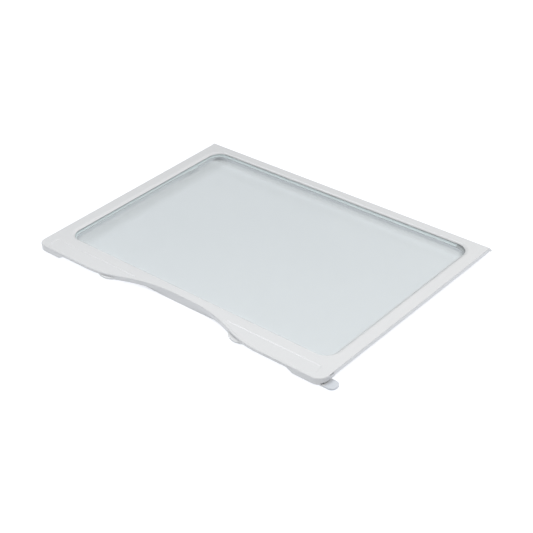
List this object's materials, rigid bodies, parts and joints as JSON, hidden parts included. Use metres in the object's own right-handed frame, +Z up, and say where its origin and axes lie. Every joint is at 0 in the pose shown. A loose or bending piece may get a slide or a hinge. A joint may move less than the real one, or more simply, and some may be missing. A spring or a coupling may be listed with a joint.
{
  "type": "refrigerator shelf",
  "caption": "Flat glass shelf in a moulded white plastic rim with a front finger scoop, corner skirts and a locating tongue at the front right corner.",
  "frame": {"origin": "middle of the shelf's outer box, on its underside", "axes": "+X to the right seen from the front, +Y to the rear edge, +Z up out of the glass"},
  "size_m": [0.4524, 0.3216, 0.0115],
  "materials": {
    "glass": "clear polished",
    "rim": "satin"
  },
  "bodies": {
    "root": {"glass_panel": "glass", "shelf_frame": "rim"}
  },
  "joints": []
}
